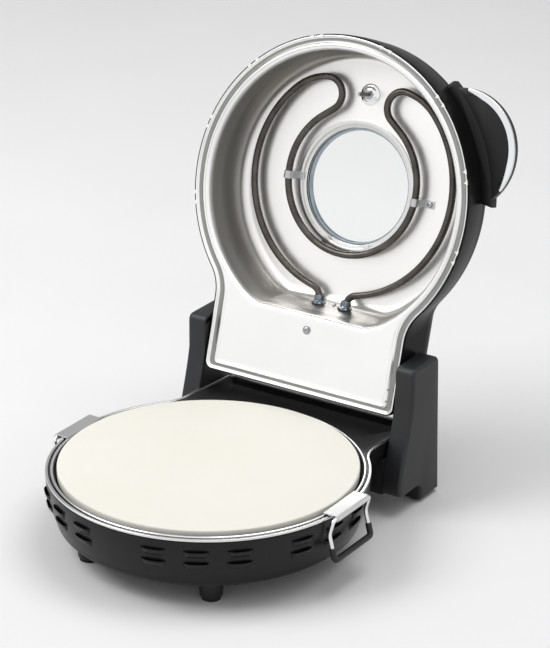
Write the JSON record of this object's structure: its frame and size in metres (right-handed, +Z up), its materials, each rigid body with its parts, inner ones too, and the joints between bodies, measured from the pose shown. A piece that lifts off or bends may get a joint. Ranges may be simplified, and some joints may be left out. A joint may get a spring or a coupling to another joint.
{
  "type": "electric pizza maker",
  "caption": "Countertop pizza maker: round base with a baking stone in a lift-out tray, folding side bails, and a domed lid with window and heating element on a rear hinge.",
  "frame": {"origin": "middle of the footprint with the lid open, on the table", "axes": "+X to the object's right, +Y to the rear where the hinge is, +Z up"},
  "size_m": [0.3542, 0.4792, 0.4569],
  "materials": {
    "shell_black": "satin black enamel paint",
    "pan_enamel": "gloss black vitreous enamel",
    "rim_steel": "bright satin steel",
    "liner_steel": "satin steel sheet",
    "bright_chrome": "polished chrome plate",
    "wire_steel": "polished wire",
    "strip_chrome": "polished trim strip",
    "tower_plastic": "fine satin charcoal plastic",
    "handle_plastic": "fine satin black plastic",
    "sleeve_black": "satin black heat-proof sleeve",
    "foot_plastic": "black moulded plastic",
    "pad_rubber": "matt black rubber",
    "baking_stone": "fine matt cordierite",
    "element_tube": "heat-darkened steel sheath",
    "bush_steel": "blue-grey steel",
    "bush_ceramic": "white insulator",
    "window_glass": "clear toughened glass",
    "screw_steel": "zinc-plated steel",
    "plate_steel": "dull black sheet",
    "bracket_steel": "zinc-plated pressed steel"
  },
  "bodies": {
    "base": {"base_shell": "shell_black", "rim_trim": "rim_steel", "reflector_pan": "pan_enamel", "bottom_plate": "plate_steel", "bottom_screws": "screw_steel", "front_foot_left": "foot_plastic", "front_foot_right": "foot_plastic", "foot_pads": "pad_rubber", "rear_housing": "tower_plastic", "tower_left": "tower_plastic", "tower_right": "tower_plastic", "tower_cover_left": "tower_plastic", "tower_cover_right": "tower_plastic", "tower_screws": "screw_steel", "rear_pads": "pad_rubber", "hinge_pin_left": "screw_steel", "hinge_pin_right": "screw_steel", "lower_element": "element_tube", "lower_clips": "bracket_steel", "lower_bushes": "bush_ceramic", "thermostat": "bush_ceramic", "terminal_block": "bush_ceramic", "cord_gland": "foot_plastic", "stone_tray": "bright_chrome", "tray_tab_left": "bright_chrome", "tray_tab_right": "bright_chrome", "baking_stone": "baking_stone"},
    "lid": {"lid_shell": "shell_black", "lid_liner": "liner_steel", "liner_ceiling": "liner_steel", "rim_tabs": "rim_steel", "window_ring": "liner_steel", "window_glass": "window_glass", "window_bezel": "bright_chrome", "window_tabs": "rim_steel", "upper_element": "element_tube", "element_clips": "bracket_steel", "element_bushes": "bush_steel", "clip_screws": "screw_steel", "ceiling_washer": "bracket_steel", "ceiling_stud": "screw_steel", "neck_screw": "screw_steel", "thermal_cutout": "bush_ceramic", "hinge_bracket_left": "bracket_steel", "hinge_bracket_right": "bracket_steel", "bracket_screws": "screw_steel", "lid_handle": "handle_plastic", "handle_strip": "strip_chrome", "handle_screws": "screw_steel"},
    "bail_left_body": {"bail_left": "wire_steel", "bail_sleeve_left": "sleeve_black"},
    "bail_right_body": {"bail_right": "wire_steel", "bail_sleeve_right": "sleeve_black"}
  },
  "joints": [
    {"name": "lid_hinge", "type": "hinge", "parent": "base", "child": "lid", "pos_m": [-0.00527, 0.11239, 0.1108], "axis": [1, 0, 0], "range_deg": [0, 105.6]},
    {"name": "bail_left_pivot", "type": "hinge", "parent": "base", "child": "bail_left_body", "pos_m": [-0.17147, -0.07811, 0.07895], "axis": [0, 1, 0], "range_deg": [-3, 135]},
    {"name": "bail_right_pivot", "type": "hinge", "parent": "base", "child": "bail_right_body", "pos_m": [0.16093, -0.07811, 0.07895], "axis": [0, -1, 0], "range_deg": [-3, 135]}
  ]
}
